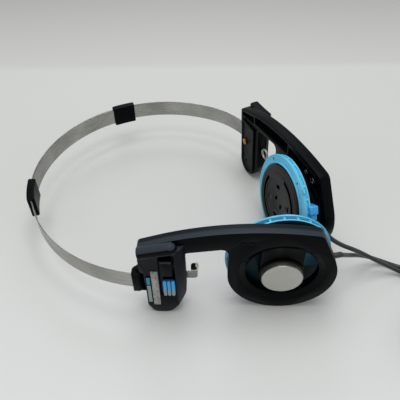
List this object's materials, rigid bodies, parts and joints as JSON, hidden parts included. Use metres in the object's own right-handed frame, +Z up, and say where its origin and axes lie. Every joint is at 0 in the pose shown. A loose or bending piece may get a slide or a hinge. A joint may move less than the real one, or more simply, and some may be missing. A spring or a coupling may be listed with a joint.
{
  "type": "folding on-ear headphones",
  "caption": "Folding on-ear headphones: sliding steel strip band, black side arms with hinged lobes, round ball-jointed ear cups without pads, two leads joined to one cord.",
  "frame": {"origin": "middle of the set's footprint, without the cord, on the surface it lies on", "axes": "+X from the crown of the band to the ear cups, +Z up from the edge the set lies on"},
  "size_m": [0.2546, 0.1403, 0.0538],
  "materials": {
    "black_abs": "satin moulded ABS, fine mould texture",
    "black_gloss": "smooth moulded black plastic",
    "band_steel": "rolled spring steel, brushed along its length",
    "pin_steel": "drawn steel wire",
    "rivet_brass": "turned brass, slightly dull",
    "sky_blue": "sky blue moulded plastic",
    "grip_blue": "light blue soft moulded grip",
    "driver_brown": "charcoal brown moulded plastic",
    "badge_silver": "satin silver disc, bare",
    "strip_silver": "silver label strip, bare",
    "white_label": "pale label, bare",
    "black_rubber": "soft black cable jacket",
    "nylon": "natural nylon",
    "magnet_nickel": "nickel plated magnet",
    "diaphragm_film": "clear brown film",
    "jack_nickel": "nickel plated contacts with black rings"
  },
  "bodies": {
    "headband": {"near_strip": "band_steel", "near_clip": "black_abs", "near_hinge_block": "black_abs", "near_lead_end": "black_rubber", "far_lead_end": "black_rubber", "main_lead": "black_rubber", "cord_coil": "black_rubber", "plug_lead": "black_rubber", "lead_splitter": "black_rubber", "cord_tie": "black_gloss", "plug_body": "black_rubber", "plug_jack": "jack_nickel"},
    "far_band": {"far_strip": "band_steel", "far_clip": "black_abs", "far_hinge_block": "black_abs", "far_lead_middle": "black_rubber"},
    "near_arm": {"near_arm_shell": "black_abs", "near_temple_cover": "black_abs", "near_temple_plate": "black_gloss", "near_rivet": "rivet_brass", "near_badge": "badge_silver", "near_silver_strip": "strip_silver", "near_side_plate": "white_label", "near_hinge_pin": "pin_steel", "near_socket": "black_gloss", "latch_tongue": "band_steel", "latch_hook_cap": "black_gloss"},
    "near_slide": {"near_slider": "black_gloss", "near_grip": "grip_blue"},
    "near_swivel": {"near_ball_liner": "nylon"},
    "near_cup": {"near_cup_shell": "sky_blue", "near_lead_gland": "sky_blue", "near_driver_plate": "driver_brown", "near_magnet": "magnet_nickel", "near_basket": "black_gloss", "near_diaphragm": "diaphragm_film", "near_ball_stud": "nylon", "near_lead": "black_rubber"},
    "far_arm": {"far_arm_shell": "black_abs", "far_temple_cover": "black_abs", "far_temple_plate": "black_gloss", "far_rivet": "rivet_brass", "far_badge": "badge_silver", "far_silver_strip": "strip_silver", "far_side_plate": "white_label", "far_hinge_pin": "pin_steel", "far_socket": "black_gloss", "latch_ring": "pin_steel"},
    "far_slide": {"far_slider": "black_gloss", "far_grip": "grip_blue"},
    "far_swivel": {"far_ball_liner": "nylon"},
    "far_cup": {"far_cup_shell": "sky_blue", "far_lead_gland": "sky_blue", "far_driver_plate": "driver_brown", "far_magnet": "magnet_nickel", "far_basket": "black_gloss", "far_diaphragm": "diaphragm_film", "far_ball_stud": "nylon", "far_lead": "black_rubber"}
  },
  "joints": [
    {"name": "band_slide", "type": "hinge", "parent": "headband", "child": "far_band", "pos_m": [-0.0195, 0, 0.0207], "axis": [0, 0, 1], "range_deg": [0, 43]},
    {"name": "near_arm_fold", "type": "hinge", "parent": "headband", "child": "near_arm", "pos_m": [0.01361, -0.05893, 0.0205], "axis": [0, 0, 1], "range_deg": [-35, 0], "stiffness_Nm_per_rad": 0.15},
    {"name": "far_arm_fold", "type": "hinge", "parent": "far_band", "child": "far_arm", "pos_m": [0.00127, 0.06149, 0.02067], "axis": [-0.0262, -0.0412, 0.9988], "range_deg": [0, 35], "stiffness_Nm_per_rad": 0.15},
    {"name": "near_pressure_slide", "type": "slide", "parent": "near_arm", "child": "near_slide", "axis": [0, 0, 1], "range_m": [0, 0.0026]},
    {"name": "far_pressure_slide", "type": "slide", "parent": "far_arm", "child": "far_slide", "axis": [-0.0262, -0.0412, 0.9988], "range_m": [0, 0.0026]},
    {"name": "near_cup_turn", "type": "hinge", "parent": "near_arm", "child": "near_swivel", "pos_m": [0.06601, -0.02094, 0.0256], "axis": [0, 0, 1], "range_deg": [-8.5, 1.5]},
    {"name": "near_cup_tip", "type": "hinge", "parent": "near_swivel", "child": "near_cup", "pos_m": [0.06601, -0.02094, 0.0256], "axis": [0.7727, 0.6347, 0], "range_deg": [-1, 7]},
    {"name": "far_cup_turn", "type": "hinge", "parent": "far_arm", "child": "far_swivel", "pos_m": [0.05196, 0.0208, 0.02542], "axis": [-0.0262, -0.0412, 0.9988], "range_deg": [-2.9, 8.1]},
    {"name": "far_cup_tip", "type": "hinge", "parent": "far_swivel", "child": "far_cup", "pos_m": [0.05196, 0.0208, 0.02542], "axis": [0.7881, -0.6156, -0.0048], "range_deg": [-0.6, 12]}
  ]
}
